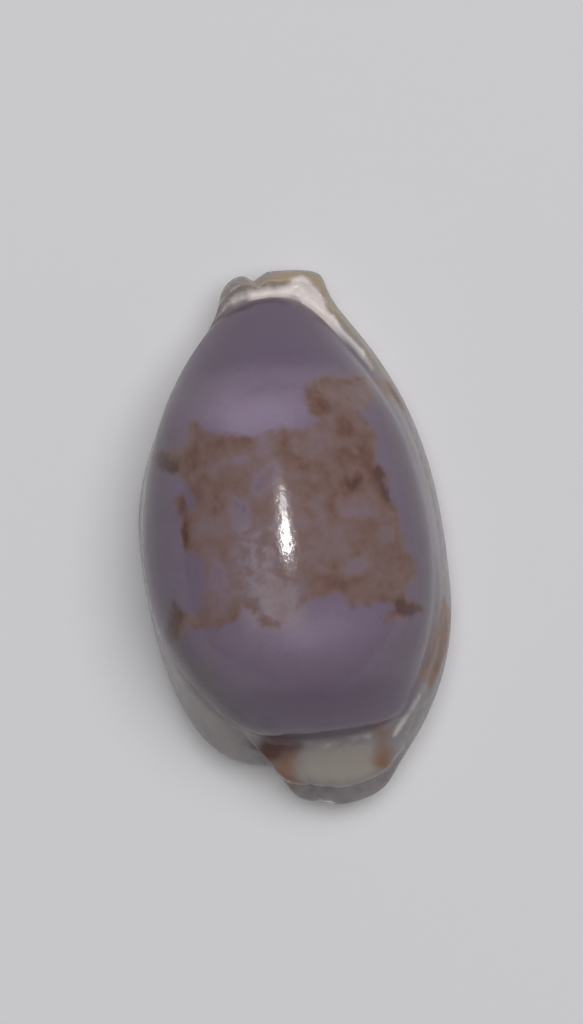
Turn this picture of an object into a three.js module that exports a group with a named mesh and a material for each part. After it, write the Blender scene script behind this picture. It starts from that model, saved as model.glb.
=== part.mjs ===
// A cowrie shell, grown as one piece and lying on its flat underside.
// Millimetres. +Z is up, the narrow front end points along +Y and the outer lip is on the +X side.

import * as THREE from "three";
import { ParametricGeometry } from "three/addons/geometries/ParametricGeometry.js";

// the whole shell
const TIP_REACH = 14.3; // the front and hind lobes, from the middle
const HALF_WIDTH = 8.06; // the margin at its widest, from the middle

// the margin seen from above: each quarter is a rounded taper from its widest place to its end
const MARGIN = {
  rightFront: { widest: -2.9, reach: 18.0, roundness: 2.6, taper: 0.87 },
  rightBack: { widest: -2.9, reach: 11.8, roundness: 2.12, taper: 0.665 },
  leftFront: { widest: 0.6, reach: 15.44, roundness: 1.96, taper: 1.345 },
  leftBack: { widest: 0.6, reach: 12.5, roundness: 2.08, taper: 0.268 },
};
// the four lobes beside the canals: how wide each is, how square its end is, and how far it reaches
const LOBE = {
  rightFront: { width: 3.53, square: 75, end: 14.3 },
  rightBack: { width: 3.7, square: 22, end: 14.3 },
  leftFront: { width: 2.4, square: 17, end: 14.3 },
  leftBack: { width: 2.35, square: 18, end: 14.0 },
};
const NOTCH_DEPTH = 0.45; // the canal's nick between the two front lobes
const NOTCH_DEPTH_BEHIND = 0.25;
const NOTCH_HALF_WIDTH = 0.42;

// the dome
const DOME_MIDDLE = 1.25; // its middle along Y
const DOME_HALF_LENGTH = 12.1;
const DOME_HALF_WIDTH = 7.6;
const DOME_RISE = 7.9; // its top above the widest level
const DOME_WIDEST_LEVEL = 4.9;
const INSIDE_SCALE = 0.83; // the hollow against the dome: a wall of about 1.3

// the callus margin around the foot of the dome
const RIM_LEVEL = 3.8;
const MARGIN_LEVEL = 2.6;
// the callus's upper side, from the dome's foot (0) to the margin (1): where each knot is and its level
const FRONT_TOP = { shares: [0.2, 0.42, 0.66, 0.86], levels: [3.6, 3.65, 3.85, 3.55] };
const BACK_TOP = { shares: [0.13, 0.45, 0.72, 0.8], levels: [5.1, 4.5, 4.05, 2.7] };
const SIDE_TOP = { shares: [0.3, 0.55, 0.75, 0.88] };
const BASE_LIFT = 0.4; // how far the base curls up toward both ends

// the slit in the base
const SLIT_HALF_GAP = 0.6;
const SLIT_HALF_GAP_FRONT = 0.95;
const SLIT_REACH = 13.35;
const CANAL_TOP = 2.3; // the level the canals at both ends of the slit arch up to
const TEETH_ROUND_THE_SLIT = 32;
const TOOTH_HEIGHT = 0.3;

const RIBS = 128; // steps around the shell
const DOME_RINGS = 9;
const MARGIN_RINGS = 19;
const FLOOR_RINGS = 4;
const INSIDE_RINGS = 5;

function ramp(value, from, to) {
  return THREE.MathUtils.smoothstep(value, from, to);
}

function blend(a, b, share) {
  return a + (b - a) * share;
}

// 1 along most of the length and falling to 0 at both ends, the later the higher the square
function closing(share, square) {
  return Math.sqrt(Math.max(0, 1 - Math.abs(share) ** square));
}

// where the slit's centre line runs: it bows to the right and comes back to the left at both ends
function slitX(y) {
  const front = Math.max(0, (y + 1) / 15.2);
  const back = Math.max(0, (-1 - y) / 13.3);
  return 0.87 - 1.35 * front ** 2 - 0.6 * back ** 2;
}

// how far along (1 front, -1 hind) and to which side a rib stands, spaced evenly along the slit
function ribDirection(turn) {
  const along = (Math.cos(turn) + 0.1 * Math.cos(3 * turn)) / 1.1;
  const side = Math.sin(turn) < 0 ? -1 : 1;
  return { along, side, across: side * Math.sqrt(Math.max(0, 1 - along ** 2)) };
}

// the margin's half width from the slit's line: the wider of the egg and the lobe, joined softly
function marginReach(y, side) {
  const half = side > 0 ? "right" : "left";
  const egg = MARGIN[half + (y > MARGIN[half + "Front"].widest ? "Front" : "Back")];
  const lobe = LOBE[half + (y > 0 ? "Front" : "Back")];
  const share = Math.min(1, Math.abs(y - egg.widest) / egg.reach);
  const eggHalf = HALF_WIDTH * (1 - share ** egg.roundness) ** egg.taper;
  const eggReach = Math.max(0, eggHalf - side * slitX(y)) * closing(y / TIP_REACH, 80);
  const lobeReach = lobe.width * closing(y / lobe.end, lobe.square);
  return (eggReach ** 10 + lobeReach ** 10) ** 0.1;
}

function marginPoint({ along, side }) {
  const y = TIP_REACH * along;
  const x = slitX(y) + side * marginReach(y, side);
  const nick = ramp(Math.abs(along), 0.8, 0.95) * Math.exp(-(((x - slitX(y)) / NOTCH_HALF_WIDTH) ** 2));
  const depth = y > 0 ? NOTCH_DEPTH : -NOTCH_DEPTH_BEHIND;
  const level = MARGIN_LEVEL + 0.4 * nick - 0.6 * ramp(-along, 0.8, 1);
  return new THREE.Vector3(x, y - depth * nick, level);
}

// the dome: a ball pulled long, blunter behind, leaning a little, drawn in at the right front
function domePoint({ along, across }, polar, scale) {
  const b = Math.sin(polar) * along;
  const a = Math.sin(polar) * across;
  const ahead = Math.max(0, b);
  const behind = Math.max(0, -b);
  const width = DOME_HALF_WIDTH - 1.4 * b + 1.5 * ahead ** 10 + 6.5 * behind ** 10;
  const lean = -0.3 + 0.35 * b ** 2 + 0.75 * behind ** 4;
  const hollowed = 1.3 * ramp(b, 0.3, 1) * Math.max(0, a) ** 2;
  const level = DOME_WIDEST_LEVEL - 2.9 * ramp(b, 0.4, 1) - 1.9 * ramp(-b, 0.5, 1);
  const rise = DOME_RISE * (1 - 0.12 * b + 0.5 * behind ** 6);
  const height = level + Math.cos(polar) * rise;
  return new THREE.Vector3(
    lean + (a * width - hollowed) * scale,
    DOME_MIDDLE + DOME_HALF_LENGTH * b * scale,
    blend(DOME_WIDEST_LEVEL, height, scale),
  );
}

// how far down the dome goes before the callus meets it: steepest at the sides
function creaseAngle({ along }) {
  return Math.acos(0.2 + 0.1 * ramp(along, 0.5, 1) + 0.08 * ramp(-along, 0.5, 1));
}

// how far the canals lift the base, strongest on the slit's line at both ends
function canalLift(x, y) {
  return Math.exp(-(((x - slitX(y)) / 0.9) ** 2)) * ramp(Math.abs(y), 11.6, 13.4);
}

function slitPoint({ along, side }) {
  const y = SLIT_REACH * along;
  const gap = blend(SLIT_HALF_GAP, SLIT_HALF_GAP_FRONT, ramp(y, -4, 12));
  return new THREE.Vector3(slitX(y) + side * gap * closing(along, 20), y, 0);
}

// one point of the callus: a rib leaves the dome's foot in the dome's own direction, goes over the rim
// and under the base, and ends in the slit's throat
function callusPoint(turn, down) {
  const direction = ribDirection(turn);
  const { along, across, side } = direction;
  const outward = side * closing(along, 20);
  const front = ramp(along, 0.72, 0.97);
  const back = ramp(-along, 0.8, 0.97);
  const aboveFoot = domePoint(direction, creaseAngle(direction) * 0.93, 1);
  const foot = domePoint(direction, creaseAngle(direction), 1);
  const edge = marginPoint(direction);
  const lip = slitPoint(direction);
  const rim = RIM_LEVEL + 0.15 * across;
  const sideLevels = [0.4, 0.75, 1].map((share) => blend(foot.z, rim, share));
  sideLevels.push(blend(rim, MARGIN_LEVEL, 0.4));
  const ridge = Math.cos(TEETH_ROUND_THE_SLIT * turn) * (1 - ramp(Math.abs(along), 0.88, 0.97));
  const tooth = TOOTH_HEIGHT * (0.5 + 0.5 * ridge);

  function between(from, to, share, level) {
    const point = from.clone().lerp(to, share);
    point.z = level;
    if (to === lip) {
      const curled = level + BASE_LIFT * ramp(Math.abs(point.y), 7, 14) * ramp(level, 2, 0.2);
      point.z = blend(curled, CANAL_TOP + 0.15 * level, canalLift(point.x, point.y));
    }
    return point;
  }
  const top = sideLevels.map((sideLevel, knot) => {
    const sideOrFront = blend(SIDE_TOP.shares[knot], FRONT_TOP.shares[knot], front);
    const share = blend(sideOrFront, BACK_TOP.shares[knot], back);
    const level = blend(blend(sideLevel, FRONT_TOP.levels[knot], front), BACK_TOP.levels[knot], back);
    return between(foot, edge, share, level);
  });
  const lipEdge = between(edge, lip, 1, 1.0 - 0.6 * tooth);
  lipEdge.x -= outward * tooth * 0.8;
  const throat = between(edge, lip, 1, 1.9);
  throat.x += outward * (0.15 - tooth * 0.5);

  const rib = new THREE.CatmullRomCurve3([
    aboveFoot,
    foot,
    ...top,
    edge,
    between(edge, lip, 0.07, 0.9),
    between(edge, lip, 0.22, 0.1),
    between(edge, lip, 0.4, -0.06),
    between(edge, lip, 0.7, -0.06),
    between(edge, lip, 0.87, 0.3 - 0.8 * tooth),
    lipEdge,
    throat,
  ]);
  return rib.getPoint((1 + 12 * down) / 13);
}

// the four stretches of a rib: down the dome, around the callus, along the hollow's floor and up inside it
function shellPoint(turn, ring) {
  const direction = ribDirection(turn);
  if (ring <= DOME_RINGS) {
    return domePoint(direction, (creaseAngle(direction) * ring) / DOME_RINGS, 1);
  }
  const callus = ring - DOME_RINGS;
  if (callus <= MARGIN_RINGS) {
    const point = callusPoint(turn, callus / MARGIN_RINGS);
    point.z = Math.max(0, point.z);
    return point;
  }
  const floor = callus - MARGIN_RINGS;
  if (floor <= FLOOR_RINGS) {
    const throat = callusPoint(turn, 1);
    const wall = domePoint(direction, creaseAngle(direction), INSIDE_SCALE);
    const angle = (Math.PI / 2) * (floor / FLOOR_RINGS);
    const point = throat.clone().lerp(wall, Math.sin(angle));
    point.z = blend(wall.z, throat.z, Math.cos(angle));
    return point;
  }
  const inside = (floor - FLOOR_RINGS) / INSIDE_RINGS;
  return domePoint(direction, creaseAngle(direction) * (1 - inside), INSIDE_SCALE);
}

const rings = DOME_RINGS + MARGIN_RINGS + FLOOR_RINGS + INSIDE_RINGS;
const geometry = new ParametricGeometry(
  (around, down, target) => target.copy(shellPoint(around * Math.PI * 2, Math.round(down * rings))),
  RIBS,
  rings,
);

const material = new THREE.MeshStandardMaterial({ color: 0x7d6c78, roughness: 0.18, metalness: 0 });
const shell = new THREE.Mesh(geometry, material);
shell.name = "shell";

const group = new THREE.Group();
group.name = "cowrie_shell";
group.add(shell);

export default group;
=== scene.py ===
import math
import bpy
import numpy as np
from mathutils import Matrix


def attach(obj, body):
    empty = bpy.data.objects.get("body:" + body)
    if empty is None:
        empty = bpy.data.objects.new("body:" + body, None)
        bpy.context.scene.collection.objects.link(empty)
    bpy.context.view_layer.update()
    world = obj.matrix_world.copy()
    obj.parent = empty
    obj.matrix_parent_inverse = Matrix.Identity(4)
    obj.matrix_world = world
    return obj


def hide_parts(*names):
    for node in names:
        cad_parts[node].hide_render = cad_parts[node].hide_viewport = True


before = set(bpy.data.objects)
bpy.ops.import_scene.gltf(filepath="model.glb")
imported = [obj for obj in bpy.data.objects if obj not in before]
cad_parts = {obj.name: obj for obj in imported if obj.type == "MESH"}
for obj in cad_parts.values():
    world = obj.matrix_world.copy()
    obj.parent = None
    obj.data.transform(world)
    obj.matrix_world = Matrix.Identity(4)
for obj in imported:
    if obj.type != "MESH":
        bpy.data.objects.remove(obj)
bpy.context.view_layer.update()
print("frame loaded")

mm = 0.001

# the shell: its sizes in millimetres, then its markings, colours and finish
# ribs run round it, and rings run down each rib
shellPlan = {
    "ribs": 512, "domeRings": 80, "callusRings": 80, "floorRings": 8, "insideRings": 16,
    "tipReach": 14.3, "halfWidth": 8.06,
    "notchDepth": 0.45, "notchDepthBehind": 0.25, "notchHalfWidth": 0.42,
    "domeMiddle": 1.25, "domeHalfLength": 12.1, "domeHalfWidth": 7.6, "domeRise": 7.9,
    "domeWidestLevel": 4.9, "insideScale": 0.83,
    "rimLevel": 3.8, "marginLevel": 2.6, "baseLift": 0.4,
    "slitHalfGap": 0.6, "slitHalfGapFront": 0.95, "slitReach": 13.35, "canalTop": 2.3,
    "teeth": 32, "toothHeight": 0.3, "grooveHeight": 0.3, "rippleHeight": 0.09,
    # each quarter of the margin: widest place, reach, roundness and taper, then its lobe's width,
    # squareness and end
    "rightFront": (-2.9, 18.0, 2.6, 0.87, 3.53, 75, 14.3),
    "rightBack": (-2.9, 11.8, 2.12, 0.665, 3.7, 22, 14.3),
    "leftFront": (0.6, 15.44, 1.96, 1.345, 2.4, 17, 14.3),
    "leftBack": (0.6, 12.5, 2.08, 0.268, 2.35, 18, 14.0),
    # the callus's upper side: how far each knot is from the dome's foot (0) to the margin (1), and its level
    "sideTop": (0.3, 0.55, 0.75, 0.88),
    "frontTop": (0.2, 0.42, 0.66, 0.86), "frontLevel": (3.6, 3.65, 3.85, 3.55),
    "backTop": (0.13, 0.45, 0.72, 0.8), "backLevel": (5.1, 4.5, 4.05, 2.7),
    # the brown patch's edge, seen from above, clockwise from its left horn
    "blotchEdge": [
        (-4.35, 6.8), (-3.85, 6.1), (-3.0, 5.9), (-2.2, 5.6), (-1.4, 5.45), (-0.5, 5.65), (0.0, 5.85),
        (1.1, 5.6), (2.0, 6.05), (1.6, 6.6), (1.45, 7.2), (1.7, 7.9), (2.5, 8.35), (3.4, 8.2), (4.5, 8.2),
        (5.1, 7.9), (5.1, 7.1), (4.5, 6.4), (4.0, 6.05), (4.6, 5.65), (4.9, 4.9), (4.75, 3.5), (5.2, 2.9),
        (5.25, 1.7), (5.65, 0.5), (5.7, -0.6), (6.2, -2.3), (6.15, -2.8), (5.45, -3.2), (5.8, -3.8),
        (6.25, -4.35), (5.2, -4.65), (4.2, -4.7), (4.9, -4.1), (4.6, -3.6), (2.7, -3.65), (2.1, -3.0),
        (0.6, -2.95), (0.0, -3.3), (-0.2, -4.1), (-1.2, -4.45), (-2.0, -4.2), (-2.2, -3.4), (-3.0, -3.0),
        (-3.4, -3.7), (-4.5, -4.05), (-5.9, -3.85), (-6.35, -4.5), (-7.1, -4.75), (-7.1, -4.0),
        (-6.7, -3.3), (-6.5, -2.4), (-6.2, -3.1), (-5.1, -3.2), (-4.75, -2.0), (-4.6, -0.5), (-5.1, 0.05),
        (-5.7, 0.3), (-5.6, 1.9), (-5.85, 2.8), (-5.4, 2.9), (-5.2, 2.2), (-4.7, 2.4), (-4.9, 3.3),
        (-5.4, 4.1), (-6.1, 4.2), (-6.7, 5.0), (-6.3, 5.45), (-5.1, 5.5), (-4.7, 6.4),
    ],
    # soft strokes, seen from above: from x, y to x, y, half width and amount
    "strokes": {
        # browner (or paler, below 0) over the patch
        "tone": [
            (-4.6, 5.1, -2.0, 5.2, 0.6, 0.3), (-6.6, 5.1, -5.9, 4.6, 0.6, 1.1),
            (-5.55, 2.6, -5.45, 0.6, 0.38, 0.45), (-4.9, 1.7, -4.0, 1.9, 0.4, 0.2),
            (-3.7, 2.1, -3.4, 2.1, 0.35, 0.4), (-4.2, 2.9, -2.2, 3.2, 0.6, 0.25),
            (-4.6, 4.2, -3.6, 3.4, 0.6, 0.2), (4.4, 5.0, 4.2, 3.6, 0.5, 0.4),
            (4.85, 3.0, 5.05, 1.9, 0.45, 0.8), (3.4, 5.3, 3.4, 2.5, 0.7, 0.3),
            (1.0, 2.6, 4.4, 2.5, 0.5, 0.3), (0.3, 5.4, 0.2, 4.2, 0.4, 0.3),
            (0.6, 3.9, 1.6, 3.7, 0.4, 0.25), (2.1, 1.4, 2.4, 0.8, 0.35, 0.35),
            (2.3, -2.6, 4.9, -2.9, 0.7, 0.3), (5.2, -4.0, 5.9, -4.4, 0.5, 1.0),
            (1.5, -2.3, 2.4, -2.5, 0.4, 0.4), (5.2, 1.2, 5.7, -2.2, 0.5, 0.3),
            (3.1, 0.3, 3.9, 0.3, 0.4, 0.3), (3.4, -0.9, 5.3, -1.1, 0.45, 0.2),
            (1.0, 0.4, 1.0, -2.0, 0.35, 0.1), (1.9, 7.4, 2.4, 6.7, 0.45, 0.35),
            (2.4, 8.0, 4.6, 7.8, 0.35, 0.35), (-6.5, -2.8, -6.8, -4.3, 0.45, 1.1),
            (-5.8, -3.5, -4.6, -3.6, 0.5, 0.1), (-4.2, 6.4, -4.3, 5.9, 0.4, 0.3),
            (-4.2, 0.1, -3.8, -0.4, 0.5, 0.2), (-1.9, -4.15, -1.3, -4.2, 0.4, 0.1),
            (-2.9, 4.35, -2.0, 4.3, 0.35, -0.4), (-1.5, 2.8, -0.8, 3.3, 0.5, -0.6),
            (-0.7, 3.5, -0.5, 4.1, 0.3, -0.45), (-2.6, 1.8, -2.4, 0.9, 0.6, -0.55),
            (-4.4, 1.2, -3.9, 1.0, 0.4, -0.4), (2.9, 1.1, 4.0, 1.0, 0.3, -0.4),
            (2.1, -0.2, 2.3, -0.6, 0.45, -0.3), (2.7, -1.7, 3.4, -1.7, 0.4, -0.4),
            (4.9, 0.1, 5.0, -0.4, 0.25, -0.3), (2.9, 7.0, 4.2, 7.4, 0.7, 0.15),
            (-1.0, 5.3, -1.0, 4.8, 0.4, -0.45), (-3.0, -0.6, -1.8, -1.6, 1.0, -0.25),
            (-0.8, 0.8, -0.9, -0.2, 0.5, -0.3), (-1.2, -2.8, -0.5, -4.0, 1.0, -0.8),
            (4.4, -2.3, 4.7, -2.5, 0.4, -0.25), (-4.1, -0.8, -4.1, -2.6, 0.7, -0.35),
            (-3.0, -2.6, -2.2, -2.4, 0.6, -0.15),
        ],
        # rust and maroon on the margin, tan thickenings at the front, white at the front that is partly white
        # callus and partly painted highlight, beige behind
        "rust": [
            (5.8, 7.7, 6.5, 6.6, 0.5, 1.1), (7.6, -4.6, 7.2, -6.0, 0.45, 1.1),
            (7.1, -6.2, 6.2, -7.9, 0.5, 1.0), (-1.6, -11.4, -1.3, -13.0, 0.75, 0.85),
            (3.5, -10.4, 3.6, -12.2, 0.6, 0.6), (4.1, -11.4, 3.7, -12.3, 0.5, 0.3),
            (2.3, -11.2, 2.3, -12.0, 0.6, 0.12),
        ],
        "maroon": [
            (6.1, 7.3, 6.4, 6.9, 0.4, 0.75), (7.3, -5.2, 6.5, -7.3, 0.45, 0.6),
            (-2.6, -10.5, -1.0, -10.85, 0.5, 0.8), (-3.4, -10.3, -2.4, -10.8, 0.6, 0.4),
            (3.4, -9.9, 3.4, -10.8, 0.4, 0.2),
        ],
        # white callus with painted highlight: the front band is partly painted reflection
        "whiteAndHighlight": [
            (-0.3, 13.0, 1.0, 13.0, 0.45, 0.8), (1.9, 13.3, 2.5, 12.4, 0.5, 1.5),
            (2.4, 12.3, 3.3, 11.1, 0.34, 1.3), (3.3, 11.1, 4.6, 9.4, 0.24, 1.2),
            (4.6, 9.4, 5.1, 8.5, 0.22, 0.5), (-1.6, 12.9, -0.8, 13.1, 0.45, 0.45),
            # the first stroke on the next line is a painted highlight along the right hind crease
            (5.7, -8.9, 4.2, -10.8, 0.22, 0.5), (2.9, -10.7, 0.6, -10.95, 0.3, 0.3),
        ],
        "tan": [
            (1.2, 14.0, 2.9, 13.6, 0.45, 0.7), (2.9, 13.5, 3.7, 11.8, 0.45, 0.8),
            (4.0, 11.2, 5.9, 8.2, 0.5, 0.5), (-2.6, 13.0, -1.6, 13.5, 0.6, 0.35),
            (-0.6, 13.7, 1.4, 13.9, 0.5, 0.55),
        ],
        "beige": [(0.2, -12.0, 2.2, -12.2, 1.2, 1.0), (-6.8, -6.0, -4.5, -11.0, 0.9, 0.5)],
        # a paler, warmer ground below the middle of the patch, and a thin brown veil over its gaps
        "cream": [
            (-0.9, 0.2, -0.6, -3.6, 1.0, 0.6), (-2.3, 0.2, -2.1, -3.4, 1.3, 0.5),
            (-0.6, 4.4, -0.5, 3.2, 0.4, 0.3),
        ],
        "veil": [
            (-0.8, 5.2, -1.0, 1.5, 0.8, 0.55), (-3.4, 2.2, -3.4, -2.4, 1.2, 0.6),
            (-2.0, 4.4, -1.2, 4.2, 0.8, 0.5), (-0.8, -0.2, -0.8, -3.4, 1.1, 0.6),
            (2.4, 1.0, 3.4, -1.8, 1.4, 0.6), (-4.6, -4.6, -5.2, -6.6, 0.6, 0.4),
            (1.2, 5.2, 3.6, 5.6, 0.8, 0.5),
        ],
        # darker places on the violet: painted shade along the left hind edge, where the dome turns away from
        # the light, and small dark marks elsewhere
        "shadeAndSmudge": [
            (-6.7, -4.6, -5.7, -7.0, 0.7, 0.5), (-5.7, -7.4, -3.6, -9.9, 1.0, 0.85),
            (-3.4, -10.1, 0.5, -10.5, 0.5, 0.4), (-4.5, -8.6, -3.9, -9.2, 0.4, 0.3),
            (-2.3, -9.4, -2.0, -10.0, 0.4, 0.4), (-7.2, 4.6, -6.6, 5.0, 0.6, 0.3),
        ],
    },
    # screen values 0 to 255
    "colours": {
        "violetDark": (112, 96, 118), "violet": (134, 118, 138), "violetPale": (164, 148, 170),
        # the darkest colour on the next line is painted shade, with a few small dark marks
        # the side colour on the next line is painted shade for the dome's sides
        "cream": (178, 166, 170), "sideShade": (108, 95, 106), "shadeAndSmudge": (74, 58, 64), "seam": (138, 118, 108),
        "mauvePale": (148, 130, 140), "mauve": (138, 116, 118), "brown": (134, 109, 104),
        "brownWarm": (124, 94, 86), "brownDark": (96, 68, 64),
        # the white colour on the next line serves both white callus and painted highlight
        "callus": (158, 150, 150), "callusGrey": (142, 138, 142), "whiteAndHighlight": (240, 231, 228),
        "tan": (180, 162, 138), "beige": (162, 154, 147), "rust": (140, 103, 80), "maroon": (96, 70, 68),
        "base": (226, 218, 206), "basePale": (240, 235, 228), "gap": (178, 156, 140), "inner": (150, 130, 150),
    },
    # how glossy the dome is and what the callus adds, and how light spreads under the glaze
    "roughness": 0.11, "callusRoughness": 0.14, "glossIndex": 1.4,
    "scatter": 0.3, "scatterRadius": (1.0, 0.85, 0.8), "scatterDepth": 0.0007,
    # bump heights of the noises, largest first
    "wrinkleBump": 0.07, "middleBump": 0.014, "fineBump": 0.0025, "speckBump": 0.0003,
}


def ramp(value, start, end):
    # a smooth step: three shares squared less two shares cubed
    share = np.clip((value - start) / (end - start), 0, 1)
    return share * share * (3 - 2 * share)


def blend(a, b, share):
    # a straight mix: a plus the share of the step from a to b
    return a + (b - a) * share


def closing(share, square):
    # square root of one less the share to the power: flat, then falling to 0 at both ends
    return np.sqrt(np.clip(1 - np.abs(share) ** square, 0, None))


def slitX(y):
    # the slit's centre line: a parabola each way from its furthest right
    front = np.clip((y + 1) / 15.2, 0, None)
    back = np.clip((-1 - y) / 13.3, 0, None)
    return 0.87 - 1.35 * front ** 2 - 0.6 * back ** 2


def ribDirections(turn):
    # along is a cosine flattened by its third harmonic, across is what is left of a unit circle
    along = (np.cos(turn) + 0.1 * np.cos(3 * turn)) / 1.1
    side = np.where(np.sin(turn) < 0, -1.0, 1.0)
    return along, side, side * np.sqrt(np.clip(1 - along ** 2, 0, None))


def marginReach(y, side):
    # half width from the slit's line: an egg quarter and a lobe, added as tenth powers
    s = shellPlan

    def pick(k):  # the k-th number of the quarter each rib stands in
        front = np.where(side > 0, s["rightFront"][k], s["leftFront"][k])
        back = np.where(side > 0, s["rightBack"][k], s["leftBack"][k])
        widest = np.where(side > 0, s["rightFront"][0], s["leftFront"][0])
        return np.where(y > (widest if k < 4 else 0), front, back)

    share = np.clip(np.abs(y - pick(0)) / pick(1), 0, 1)
    eggHalf = s["halfWidth"] * (1 - share ** pick(2)) ** pick(3)
    eggReach = np.clip(eggHalf - side * slitX(y), 0, None) * closing(y / s["tipReach"], 80)
    lobeReach = pick(4) * closing(y / pick(6), pick(5))
    return (eggReach ** 10 + lobeReach ** 10) ** 0.1


def marginRing(along, side):
    # the slit's line plus the margin's reach, nicked at both ends by a bell curve across the slit's line
    s = shellPlan
    y = s["tipReach"] * along
    x = slitX(y) + side * marginReach(y, side)
    nick = ramp(np.abs(along), 0.8, 0.95) * np.exp(-(((x - slitX(y)) / s["notchHalfWidth"]) ** 2))
    depth = np.where(y > 0, s["notchDepth"], -s["notchDepthBehind"])
    z = s["marginLevel"] + 0.4 * nick - 0.6 * ramp(-along, 0.8, 1)
    return np.stack([x, y - depth * nick, z], -1)


def domeRing(along, across, polar, scale):
    # a ball pulled long: its width, lean, level and rise are each a short power series along it,
    # and its right front is drawn in by the square of how far across it is
    s = shellPlan
    b, a = np.sin(polar) * along, np.sin(polar) * across
    ahead, behind = np.clip(b, 0, None), np.clip(-b, 0, None)
    width = s["domeHalfWidth"] - 1.4 * b + 1.5 * ahead ** 10 + 6.5 * behind ** 10
    lean = -0.3 + 0.35 * b ** 2 + 0.75 * behind ** 4
    level = s["domeWidestLevel"] - 2.9 * ramp(b, 0.4, 1) - 1.9 * ramp(-b, 0.5, 1)
    hollowed = 1.3 * ramp(b, 0.3, 1) * np.clip(a, 0, None) ** 2
    rise = s["domeRise"] * (1 - 0.12 * b + 0.5 * behind ** 6)
    height = level + np.cos(polar) * rise
    return np.stack([lean + (a * width - hollowed) * scale, s["domeMiddle"] + s["domeHalfLength"] * b * scale,
                     blend(s["domeWidestLevel"], height, scale)], -1)


def creaseAngle(along):
    # how far down the dome goes: an angle whose cosine rises a little toward both ends
    return np.arccos(0.2 + 0.1 * ramp(along, 0.5, 1) + 0.08 * ramp(-along, 0.5, 1))


def splineRings(before, knots, shares):
    # a centripetal spline through each rib's knots: every span is a cubic set by its ends and their slopes
    p = np.concatenate([before[None], knots, (2 * knots[-1] - knots[-2])[None]])
    gaps = np.maximum(np.sqrt(np.linalg.norm(p[1:] - p[:-1], axis=-1, keepdims=True)), 1e-4)
    place = shares * (len(knots) - 1)
    span = np.minimum(place.astype(int), len(knots) - 2)
    w = (place - span)[:, None, None]
    d0, d1, d2 = gaps[span], gaps[span + 1], gaps[span + 2]
    p0, p1, p2, p3 = p[span], p[span + 1], p[span + 2], p[span + 3]
    slope1 = ((p1 - p0) / d0 - (p2 - p0) / (d0 + d1) + (p2 - p1) / d1) * d1
    slope2 = ((p2 - p1) / d1 - (p3 - p1) / (d1 + d2) + (p3 - p2) / d2) * d1
    return (p1 + slope1 * w + (3 * (p2 - p1) - 2 * slope1 - slope2) * w ** 2
            + (2 * (p1 - p2) + slope1 + slope2) * w ** 3)


def callusRings(turn, shares):
    # thirteen knots down each rib, from the dome's foot over the margin and the base into the slit's
    # throat; each tooth is a raised cosine of the turn
    s = shellPlan
    along, side, across = ribDirections(turn)
    outward = side * closing(along, 20)
    front, back = ramp(along, 0.72, 0.97), ramp(-along, 0.8, 0.97)
    aboveFoot = domeRing(along, across, creaseAngle(along) * 0.93, 1)
    foot = domeRing(along, across, creaseAngle(along), 1)
    edge = marginRing(along, side)
    slitY = s["slitReach"] * along
    gap = blend(s["slitHalfGap"], s["slitHalfGapFront"], ramp(slitY, -4, 12))
    lip = np.stack([slitX(slitY) + side * gap * closing(along, 20), slitY, 0 * slitY], -1)
    rim = s["rimLevel"] + 0.15 * across
    sideLevels = (blend(foot[:, 2], rim, 0.4), blend(foot[:, 2], rim, 0.75), rim,
                  blend(rim, s["marginLevel"], 0.4))
    ridge = np.cos(s["teeth"] * turn) * (1 - ramp(np.abs(along), 0.88, 0.97))
    tooth = s["toothHeight"] * (0.5 + 0.5 * ridge)

    def onTop(knot):
        share = blend(blend(s["sideTop"][knot], s["frontTop"][knot], front), s["backTop"][knot], back)
        point = blend(foot, edge, share[:, None])
        point[:, 2] = blend(blend(sideLevels[knot], s["frontLevel"][knot], front), s["backLevel"][knot], back)
        return point

    def under(share, z):
        point = blend(edge, lip, share)
        fromSlit = point[:, 0] - slitX(point[:, 1])
        lift = np.exp(-((fromSlit / 0.9) ** 2)) * ramp(np.abs(point[:, 1]), 11.6, 13.4)
        curled = z + s["baseLift"] * ramp(np.abs(point[:, 1]), 7, 14) * ramp(-z, -2, -0.2)
        point[:, 2] = blend(curled, s["canalTop"] + 0.15 * z, lift)
        return point

    lipEdge, throat = under(1, 1.0 - 0.6 * tooth), under(1, 1.9 + 0 * tooth)
    lipEdge[:, 0] -= outward * tooth * 0.8
    throat[:, 0] += outward * (0.15 - tooth * 0.5)
    knots = np.stack([foot, onTop(0), onTop(1), onTop(2), onTop(3), edge,
                      under(0.07, 0.9 + 0 * tooth), under(0.22, 0.1 + 0 * tooth), under(0.4, -0.06 + 0 * tooth),
                      under(0.7, -0.06 + 0 * tooth), under(0.87, 0.3 - 0.8 * tooth), lipEdge, throat])
    return splineRings(aboveFoot, knots, shares)


def rippleLevels(callus, shares):
    # low lumps on the callus's upper side: products of sines, stronger toward the front
    x, y = callus[..., 0], callus[..., 1]
    lumps = (np.sin(2.9 * x + 1.3 * y + 0.4) * np.sin(2.1 * y - 1.7 * x + 1.1)
             + 0.5 * np.sin(6.1 * x - 1.9 * y + 0.7) * np.sin(5.3 * y + 1.2 * x + 2.0))
    top = ramp(shares, 0.02, 0.12) * (1 - ramp(shares, 0.3, 0.42))
    return shellPlan["rippleHeight"] * lumps * top[:, None] * (0.25 + 0.75 * ramp(y, 8, 12))


def toothGaps(turn, along):
    # 1 between two teeth and 0 on each tooth: a cosine round the slit, none at its ends
    return (0.5 - 0.5 * np.cos(shellPlan["teeth"] * turn)) * (1 - ramp(np.abs(along), 0.86, 0.96))


def grooveLevels(turn, along, shares):
    # the gaps between the teeth run out over the base as grooves, faded in and out down the rib
    band = ramp(shares, 0.66, 0.78) * (1 - ramp(shares, 0.84, 0.92))
    return shellPlan["grooveHeight"] * band[:, None] * toothGaps(turn, along)


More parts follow.
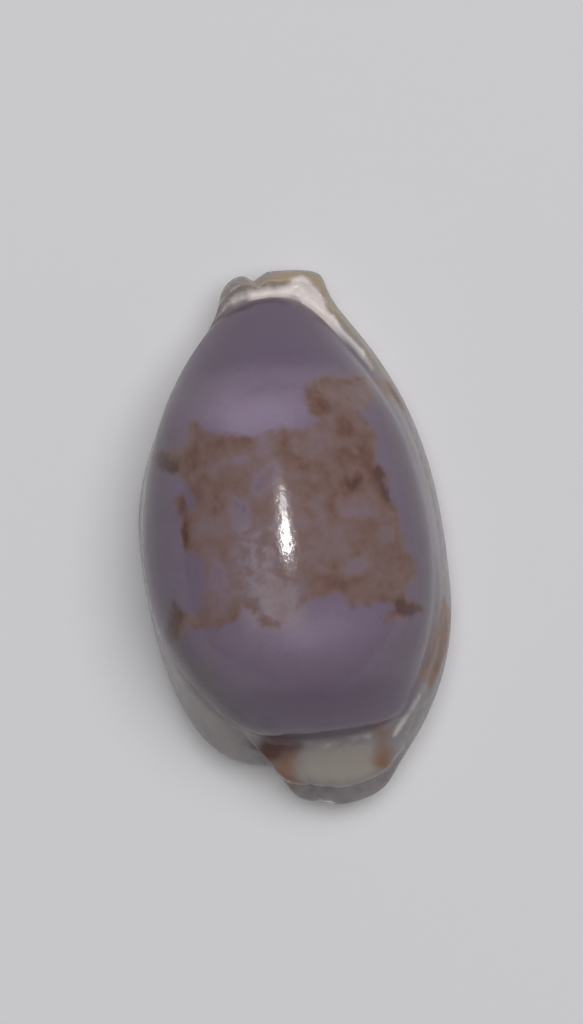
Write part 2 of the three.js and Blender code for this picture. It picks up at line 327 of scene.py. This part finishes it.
def shellRings():
    # the rings of one closed skin: down the dome, round the callus, along the hollow's floor, up inside
    s = shellPlan
    turn = np.arange(s["ribs"]) * 2 * np.pi / s["ribs"]
    along, side, across = ribDirections(turn)
    crease = creaseAngle(along)
    dome = [domeRing(along, across, crease * k / s["domeRings"], 1) for k in range(s["domeRings"])]
    shares = np.arange(s["callusRings"] + 1) / s["callusRings"]
    callus = callusRings(turn, shares)
    callus[..., 2] = np.maximum(callus[..., 2], 0)
    callus[..., 2] += rippleLevels(callus, shares) + grooveLevels(turn, along, shares)
    wall = domeRing(along, across, crease, s["insideScale"])
    floor = []
    for k in range(1, s["floorRings"] + 1):
        angle = np.pi / 2 * k / s["floorRings"]
        ring = blend(callus[-1], wall, np.sin(angle))
        ring[:, 2] = blend(wall[:, 2], callus[-1][:, 2], np.cos(angle))
        floor.append(ring)
    inside = [domeRing(along, across, crease * (1 - k / s["insideRings"]), s["insideScale"])
              for k in range(1, s["insideRings"] + 1)]
    rings = np.concatenate([np.stack(dome), callus, np.stack(floor), np.stack(inside)])
    # which stretch each ring is on: -1 to 0 the dome, to 1 the callus, to 2 the floor, to 3 inside
    kind = np.concatenate([np.linspace(-1, 0, s["domeRings"], endpoint=False),
                           np.linspace(0, 1, s["callusRings"] + 1),
                           np.linspace(1, 2, s["floorRings"] + 1)[1:],
                           np.linspace(2, 3, s["insideRings"] + 1)[1:]])
    return rings, kind, toothGaps(turn, along)


def closedSkin(name, rings):
    # quads between rings, a fan at each pole; the first and the last ring are one point each
    count, ribs = rings.shape[:2]
    middle = rings[1:-1].reshape(-1, 3)
    points = np.concatenate([rings[0, :1], middle, rings[-1, :1]])
    start = 1 + np.arange(count - 2)[:, None] * ribs
    here, following = np.arange(ribs), (np.arange(ribs) + 1) % ribs
    quads = np.stack([start[:-1] + here, start[:-1] + following, start[1:] + following, start[1:] + here], -1)
    topFan = np.stack([0 * here, 1 + following, 1 + here], -1)
    bottomFan = np.stack([0 * here + len(points) - 1, start[-1] + here, start[-1] + following], -1)
    loops = np.concatenate([quads.reshape(-1), topFan.reshape(-1), bottomFan.reshape(-1)])
    sizes = np.concatenate([np.full(quads.size // 4, 4), np.full(2 * ribs, 3)])
    mesh = bpy.data.meshes.new(name)
    mesh.vertices.add(len(points))
    mesh.vertices.foreach_set("co", (points * mm).astype(np.float32).ravel())
    mesh.loops.add(len(loops))
    mesh.loops.foreach_set("vertex_index", loops.astype(np.int32))
    mesh.polygons.add(len(sizes))
    mesh.polygons.foreach_set("loop_start", (np.cumsum(sizes) - sizes).astype(np.int32))
    mesh.polygons.foreach_set("use_smooth", np.ones(len(sizes), bool))
    mesh.update(calc_edges=True)
    mesh.validate()
    return mesh, points


rings, kind, gaps = shellRings()
shellMesh, points = closedSkin("cowrieShell", rings)
kindOfPoint = np.concatenate([kind[:1], np.repeat(kind[1:-1], shellPlan["ribs"]), kind[-1:]])
gapOfPoint = np.concatenate([[0], np.tile(gaps, len(kind) - 2), [0]])
print("shell surface worked out:", len(points), "points", len(shellMesh.polygons), "faces")

shell = bpy.data.objects.new("cowrieShell", shellMesh)
bpy.context.scene.collection.objects.link(shell)

def strokes(x, y, rows):
    # each stroke is a bell curve of the distance to a straight line between two points; they add up
    total = np.zeros_like(x)
    for x1, y1, x2, y2, halfWidth, amount in rows:
        dx, dy = x2 - x1, y2 - y1
        share = np.clip(((x - x1) * dx + (y - y1) * dy) / (dx * dx + dy * dy), 0, 1)
        distance = np.hypot(x - x1 - share * dx, y - y1 - share * dy)
        total += amount * np.exp(-((distance / halfWidth) ** 2))
    return total


def insideDistance(x, y, edge):
    # distance to the nearest side of a closed outline, positive inside it
    a = np.array(edge, float)
    b = np.roll(a, -1, axis=0)
    nearest, crossings = np.full(x.shape, 1e9), np.zeros(x.shape, int)
    for (x1, y1), (x2, y2) in zip(a, b):
        dx, dy = x2 - x1, y2 - y1
        share = np.clip(((x - x1) * dx + (y - y1) * dy) / (dx * dx + dy * dy), 0, 1)
        nearest = np.minimum(nearest, np.hypot(x - x1 - share * dx, y - y1 - share * dy))
        spans = (y1 > y) != (y2 > y)
        crossings += spans & (x < x1 + dx * (y - y1) / (dy if dy else 1e-9))
    return np.where(crossings % 2 == 1, nearest, -nearest)


def paintValues(mesh, points, kind, gap):
    # one number per point and marking, read by the glaze; only the side that faces up carries the strokes
    x, y, z = points.T
    upper = 1 - ramp(kind, 0.3, 0.44)
    # strokes on the upright sides waver with height: sines of the level, nothing on the dome
    sway = ramp(kind, 0.03, 0.15)
    sideX = x + 0.22 * sway * np.sin(2.6 * z + 0.8 * y)
    sideY = y + 0.4 * sway * np.sin(2.1 * z + 0.9 * x + 0.5)
    # callus over the ground: a crisp edge at both ends, a soft one along the sides
    ends = np.maximum(ramp(y, 9.5, 11.5), ramp(-y, 9.6, 10.6))
    crisp = blend(ramp(kind, -0.012, 0.03), ramp(kind, 0.01, 0.07), ramp(-y, 9, 10))
    sides = blend(ramp(kind, 0.02, 0.16), ramp(kind, -0.03, 0.08), ramp(-y, 3, 6) * ramp(-x, 0, 3))
    callus = blend(sides, crisp, ends)
    # two paler bands across the violet as bell curves, and darker ground toward both ends
    glow = (0.3 + 0.55 * np.exp(-((x + 1.2) / 3.6) ** 2 - ((y - 6.7) / 1.7) ** 2)
            + 0.35 * np.exp(-((x - 0.2) / 4.6) ** 2 - ((y + 4.9) / 1.7) ** 2)
            - 0.35 * ramp(y, 8, 10.5) - 0.5 * ramp(-y, 7, 9.5))

    def marked(name, x, y):  # one marking's strokes, added up
        return strokes(x, y, shellPlan["strokes"][name])

    values = {
        "blotch": np.where(kind < 0.1, insideDistance(x, y, shellPlan["blotchEdge"]), -5),
        "tone": marked("tone", x, y),
        "cream": marked("cream", x, y),
        "veil": marked("veil", x, y),
        "seam": np.exp(-((kind / 0.018) ** 2)) * ramp(y, 8.5, 11.5),
        "glow": glow,
        "callus": callus,
        "rust": marked("rust", sideX, sideY) * upper,
        "maroon": marked("maroon", sideX, sideY) * upper,
        # white callus and painted highlight
        "whiteAndHighlight": marked("whiteAndHighlight", x, y) * upper * crisp,
        "tan": marked("tan", x, y) * upper * crisp,
        "beige": marked("beige", x, y) * upper,
        # painted shade: the dome's sides darkened toward the crease, where they turn away from the light
        "sideShade": ramp(kind, -0.45, -0.08) * (1 - 0.7 * ramp(np.abs(y - 0.5), 6, 10)) * (kind <= 0.5),
        # painted shade along the left hind edge, and small dark marks
        "shadeAndSmudge": marked("shadeAndSmudge", x, y) * upper,
        "under": ramp(kind, 0.42, 0.55),
        "inner": ramp(kind, 0.95, 1.3),
        "gap": gap * ramp(kind, 0.64, 0.8) * (1 - ramp(kind, 1.0, 1.2)),
        "rough": ramp(y, 10.5, 13) * callus,
    }
    for name, value in values.items():
        layer = mesh.attributes.new(name, "FLOAT", "POINT")
        layer.data.foreach_set("value", value.astype(np.float32))


paintValues(shellMesh, points, kindOfPoint, gapOfPoint)
print("markings laid on")


def colour(red, green, blue):
    # screen values 0 to 255 to the linear values a shader takes
    parts = [c / 255 for c in (red, green, blue)]
    return tuple(c / 12.92 if c <= 0.04045 else ((c + 0.055) / 1.055) ** 2.4 for c in parts) + (1.0,)


def shellGlaze():
    # one shader: noises and the painted values pick between the colours, then gloss, scatter and bump
    plan = shellPlan
    material = bpy.data.materials.new("shellGlaze")
    material.use_nodes = True
    tree = material.node_tree
    tree.nodes.clear()

    def add(kind, inputs, **settings):
        node = tree.nodes.new("ShaderNode" + kind)
        for key, value in settings.items():
            setattr(node, key, value)
        for key, value in inputs.items():
            if isinstance(value, bpy.types.NodeSocket):
                tree.links.new(value, node.inputs[key])
            else:
                node.inputs[key].default_value = value
        return node

    def paint(name):
        return add("Attribute", {}, attribute_name=name).outputs["Fac"]

    def maths(operation, a, b=0.0, clamp=False):
        return add("Math", {0: a, 1: b}, operation=operation, use_clamp=clamp).outputs[0]

    def step(value, start, end):
        return add("MapRange", {"Value": value, "From Min": start, "From Max": end},
                   interpolation_type="SMOOTHSTEP").outputs["Result"]

    def mix(share, a, b):
        return add("Mix", {0: share, 6: a, 7: b}, data_type="RGBA").outputs[2]

    place = add("TexCoord", {}).outputs["Object"]
    inMm = add("Mapping", {"Vector": place, "Scale": (1000, 1000, 1000)}).outputs[0]

    def noise(scale, detail=3.0, roughness=0.5, warp=0.0):
        node = add("TexNoise", {"Vector": inMm, "Scale": scale, "Detail": detail, "Roughness": roughness,
                                "Distortion": warp})
        return maths("SUBTRACT", node.outputs["Fac"], 0.5)

    def plus(value, *pairs):
        for other, amount in pairs:
            value = maths("ADD", value, maths("MULTIPLY", other, amount))
        return value

    tint = {name: colour(*values) for name, values in plan["colours"].items()}
    broad, cloud, middle = noise(0.35), noise(0.8, 2, 0.5, 0.5), noise(1.6, 3)
    fine, speck = noise(3.2, 4), noise(11, 2)

    # violet ground: pale where it glows, dark toward both ends
    glow = plus(paint("glow"), (broad, 0.35), (fine, 0.12))
    ground = mix(step(glow, 0.05, 0.45), tint["violetDark"], tint["violet"])
    ground = mix(step(glow, 0.4, 0.95), ground, tint["violetPale"])
    ground = mix(step(plus(paint("cream"), (middle, 0.3)), 0.0, 1.0), ground, tint["cream"])
    # painted shade on the dome's sides
    ground = mix(maths("MULTIPLY", paint("sideShade"), 0.85), ground, tint["sideShade"])

    # the brown patch: its edge wanders, its tone is marbled, and the ground shows through where it is thin
    edge = plus(paint("blotch"), (cloud, 0.4), (middle, 0.4), (fine, 0.15))
    outline = maths("SUBTRACT", 1.0, step(edge, 0.1, 0.6))
    tone = plus(paint("tone"), (outline, 0.14), (cloud, 1.0), (middle, 0.75), (fine, 0.2))
    patch = mix(step(tone, -0.55, -0.15), tint["mauvePale"], tint["mauve"])
    patch = mix(step(tone, -0.15, 0.2), patch, tint["brown"])
    patch = mix(step(tone, 0.15, 0.55), patch, tint["brownWarm"])
    patch = mix(step(tone, 0.5, 0.95), patch, tint["brownDark"])
    veil = maths("MULTIPLY", step(plus(paint("veil"), (middle, 0.5), (fine, 0.2)), 0.1, 0.8), 0.75)
    dome = mix(veil, ground, tint["mauve"])
    cover = maths("MULTIPLY", step(edge, -0.3, 0.22), step(tone, -0.75, -0.1))
    dome = mix(cover, dome, patch)
    # painted shade along the left hind edge, and small dark marks, laid over the dome
    dome = mix(maths("MULTIPLY", paint("shadeAndSmudge"), 0.8), dome, tint["shadeAndSmudge"])

    # the callus, see-through grey with tan thickenings, and white ones that also carry painted highlight
    callus = mix(step(middle, -0.2, 0.2), tint["callusGrey"], tint["callus"])
    callus = mix(step(paint("beige"), 0.0, 1.0), callus, tint["beige"])
    callus = mix(step(plus(paint("tan"), (middle, 0.4)), 0.1, 0.9), callus, tint["tan"])
    callus = mix(step(plus(paint("whiteAndHighlight"), (middle, 0.5)), 0.15, 0.85), callus, tint["whiteAndHighlight"])
    topSide = mix(paint("callus"), dome, callus)
    topSide = mix(maths("MULTIPLY", paint("seam"), 0.6), topSide, tint["seam"])
    topSide = mix(step(plus(paint("rust"), (middle, 0.3)), 0.05, 1.1), topSide, tint["rust"])
    topSide = mix(step(plus(paint("maroon"), (middle, 0.3)), 0.05, 1.1), topSide, tint["maroon"])

    # the underside and the hollow
    base = mix(step(broad, -0.2, 0.25), tint["base"], tint["basePale"])
    base = mix(maths("MULTIPLY", paint("gap"), 0.6), base, tint["gap"])
    skin = mix(paint("under"), topSide, base)
    skin = mix(paint("inner"), skin, tint["inner"])

    rough = plus(plan["roughness"], (fine, 0.08), (paint("callus"), plan["callusRoughness"]))
    wrinkle = maths("MULTIPLY", noise(2.6, 3, 0.6, 0.6), paint("rough"))
    height = plus(0.0, (middle, plan["middleBump"]), (fine, plan["fineBump"]), (speck, plan["speckBump"]),
                  (wrinkle, plan["wrinkleBump"]))
    bump = add("Bump", {"Height": height, "Strength": 1.0, "Distance": 0.001})
    surface = add("BsdfPrincipled", {
        "Base Color": skin, "Roughness": rough, "IOR": plan["glossIndex"],
        "Subsurface Weight": plan["scatter"], "Subsurface Radius": plan["scatterRadius"],
        "Subsurface Scale": plan["scatterDepth"], "Normal": bump.outputs[0]})
    end = add("OutputMaterial", {"Surface": surface.outputs[0]})
    end.is_active_output = True
    return material


shellMesh.materials.append(shellGlaze())
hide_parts("shell")
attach(shell, "root")
print("glaze made")

# the floor in metres, a hair under the shell's flat base so that the two never share a plane
stageShape = {
    "floorHalf": 1.5, "floorLevel": -0.00002, "floorColour": (238, 237, 240), "floorRoughness": 0.9,
    "surround": 0.16,
}


def makeStage():
    # one square floor, and a plain white surround on every side
    s = stageShape
    half, low = s["floorHalf"], s["floorLevel"]
    mesh = bpy.data.meshes.new("floor")
    corners = [(-half, -half, low), (half, -half, low), (half, half, low), (-half, half, low)]
    mesh.from_pydata(corners, [], [(0, 1, 2, 3)])
    floor = bpy.data.objects.new("floor", mesh)
    bpy.context.scene.collection.objects.link(floor)
    material = bpy.data.materials.new("floorPale")
    material.use_nodes = True
    shader = material.node_tree.nodes["Principled BSDF"]
    shader.inputs["Base Color"].default_value = colour(*s["floorColour"])
    shader.inputs["Roughness"].default_value = s["floorRoughness"]
    mesh.materials.append(material)
    world = bpy.data.worlds.new("studio")
    world.use_nodes = True
    world.node_tree.nodes["Background"].inputs["Color"].default_value = (1, 1, 1, 1)
    world.node_tree.nodes["Background"].inputs["Strength"].default_value = s["surround"]
    bpy.context.scene.world = world
    bpy.context.scene.view_settings.view_transform = "Standard"


# place and size in millimetres; shine is the light each gives off per unit of its own area;
# a lamp lights the matt colour, or shows in the gloss, or both
lamps = {
    "window": {"place": (0, 20, 500), "size": (58, 120), "shine": 38, "matt": False, "gloss": True},
    "windowTop": {"place": (0, 100, 500), "size": (42, 120), "shine": 14, "matt": False, "gloss": True},
    "windowGlow": {"place": (0, 50, 520), "size": (140, 330), "shine": 1.6, "matt": False, "gloss": True},
    "overhead": {"place": (130, 200, 900), "size": (800, 800), "shine": 2.7, "matt": True, "gloss": False},
}


def makeLamps():
    # soft oval lamps, each turned to face the shell
    for name, lamp in lamps.items():
        width, length = (v * mm for v in lamp["size"])
        light = bpy.data.lights.new(name, "AREA")
        light.shape, light.size, light.size_y = "ELLIPSE", width, length
        light.energy = lamp["shine"] * width * length * math.pi
        thing = bpy.data.objects.new(name, light)
        thing.location = [v * mm for v in lamp["place"]]
        thing.rotation_euler = thing.location.to_track_quat("Z", "Y").to_euler()
        thing.visible_diffuse, thing.visible_glossy = lamp["matt"], lamp["gloss"]
        bpy.context.scene.collection.objects.link(thing)


# millimetres: the point looked straight down at, the camera's height, and how tall a slice it sees at
# the level; the turn is in degrees
cameraView = {"middle": (0.12, 1.47), "height": 300, "level": 4.5, "tall": 53.96, "turn": 6.3, "sensor": 24}


def makeCamera():
    # the lens is the sensor's height times the distance, over the height it sees there
    v = cameraView
    camera = bpy.data.cameras.new("camera")
    camera.sensor_fit, camera.sensor_height = "VERTICAL", v["sensor"]
    camera.lens = v["sensor"] * (v["height"] - v["level"]) / v["tall"]
    camera.clip_start, camera.clip_end = 0.01, 10
    thing = bpy.data.objects.new("camera", camera)
    thing.location = (v["middle"][0] * mm, v["middle"][1] * mm, v["height"] * mm)
    thing.rotation_euler = (0, 0, -math.radians(v["turn"]))
    bpy.context.scene.collection.objects.link(thing)
    bpy.context.scene.camera = thing


makeStage()
makeLamps()
makeCamera()
print("stage, lamps and camera set")
